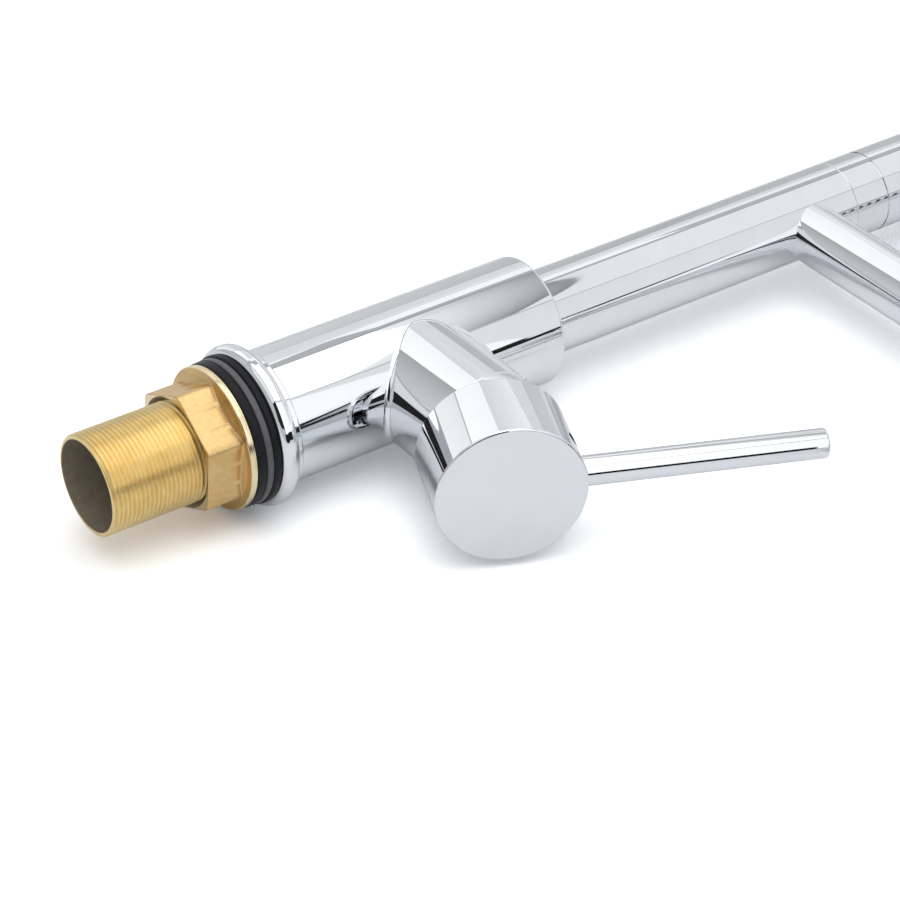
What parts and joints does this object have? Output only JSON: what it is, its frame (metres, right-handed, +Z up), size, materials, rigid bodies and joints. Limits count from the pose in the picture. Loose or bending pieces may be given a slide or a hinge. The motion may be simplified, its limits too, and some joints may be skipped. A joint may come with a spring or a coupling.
{
  "type": "pull-out kitchen faucet",
  "caption": "Chrome lever-handle kitchen faucet with a threaded brass deck shank, a swivelling riser, a holder arm and a spring-guided pull-out spray.",
  "frame": {"origin": "on the threaded shank's axis in the worktop plane, between the clamp washer below and the base gasket above", "axes": "+Z up the column, +X along the side barrel towards the handle, +Y completes the right hand"},
  "size_m": [0.2376, 0.0512, 0.4868],
  "materials": {
    "chrome": "polished chrome plate over brass",
    "spring_chrome": "polished chrome-plated spring wire",
    "brass": "raw machined and cast brass",
    "rubber": "black moulded rubber",
    "washer_plastic": "dark grey moulded plastic",
    "hose": "black smooth hose",
    "cartridge_plastic": "natural white engineering plastic",
    "ceramic": "lapped alumina",
    "steel": "plain steel",
    "magnet": "nickel-plated magnet",
    "grey_plastic": "satin grey plastic"
  },
  "bodies": {
    "base": {"mixer_body": "chrome", "base_ring": "chrome", "base_gasket": "rubber", "shank": "brass", "cartridge_seal": "rubber", "cartridge_base": "cartridge_plastic", "fixed_ceramic_disc": "ceramic", "cartridge_housing": "cartridge_plastic", "cartridge_nut": "brass", "bonnet": "chrome", "swivel_bush": "cartridge_plastic", "swivel_stop_screw": "steel"},
    "clamp": {"slip_washer": "washer_plastic", "clamp_washer": "rubber"},
    "nut": {"mounting_nut": "brass"},
    "temperature": {"cartridge_carrier": "cartridge_plastic", "pivot_pin": "steel"},
    "lift": {"lever_stem": "steel", "handle_cap": "chrome", "lever_rod": "chrome", "handle_grub_screw": "steel"},
    "disc": {"moving_ceramic_disc": "ceramic", "disc_driver": "cartridge_plastic"},
    "riser": {"swivel_foot": "brass", "riser_seals": "rubber", "riser_tube": "chrome", "joint_ring": "chrome", "upper_collar": "chrome", "hose_nipple": "brass", "arm_tube": "chrome", "holder_cradle": "chrome", "holder_magnet": "magnet", "outlet_hose": "hose", "guide_spring": "spring_chrome"},
    "spray": {"spray_ferrule": "chrome", "spray_nipple": "brass", "spray_shell": "chrome", "spray_face_plate": "grey_plastic", "nozzle_mat": "rubber", "aerator": "grey_plastic", "check_valve": "cartridge_plastic", "button_spring": "steel"},
    "button": {"spray_button": "grey_plastic", "diverter_spool": "cartridge_plastic"}
  },
  "joints": [
    {"name": "riser_swivel", "type": "hinge", "parent": "base", "child": "riser", "pos_m": [0, 0, 0.0984], "axis": [0, 0, -1], "continuous": true},
    {"name": "spray_pull", "type": "slide", "parent": "riser", "child": "spray", "axis": [1, 0, 0], "range_m": [0, 0.06], "deforming": ["guide_spring", "outlet_hose"]},
    {"name": "spray_button_push", "type": "slide", "parent": "spray", "child": "button", "axis": [-1, 0, 0], "range_m": [0, 0.0015], "stiffness_N_per_m": 1500, "springref_m": -0.001, "deforming": ["button_spring"]},
    {"name": "handle_temperature", "type": "hinge", "parent": "base", "child": "temperature", "pos_m": [0.044, 0, 0.0624], "axis": [1, 0, 0], "range_deg": [-45, 45]},
    {"name": "handle_lift", "type": "hinge", "parent": "temperature", "child": "lift", "pos_m": [0.044, 0, 0.0624], "axis": [0, 1, 0], "range_deg": [-23.5, 0]},
    {"name": "disc_slide", "type": "slide", "parent": "temperature", "child": "disc", "axis": [0, 0, 1], "range_m": [-0.00578, 0]},
    {"name": "clamp_slide", "type": "slide", "parent": "base", "child": "clamp", "axis": [0, 0, 1], "range_m": [-0.024, 0]},
    {"name": "nut_spin", "type": "hinge", "parent": "clamp", "child": "nut", "pos_m": [0, 0, -0.012], "axis": [0, 0, 1], "range_deg": [-5800, 0]}
  ],
  "couplings": [
    {"joint": "disc_slide", "follows": "handle_lift", "m_per_rad": 0.013611},
    {"joint": "nut_spin", "follows": "clamp_slide", "rad_per_m": 4188.8}
  ]
}
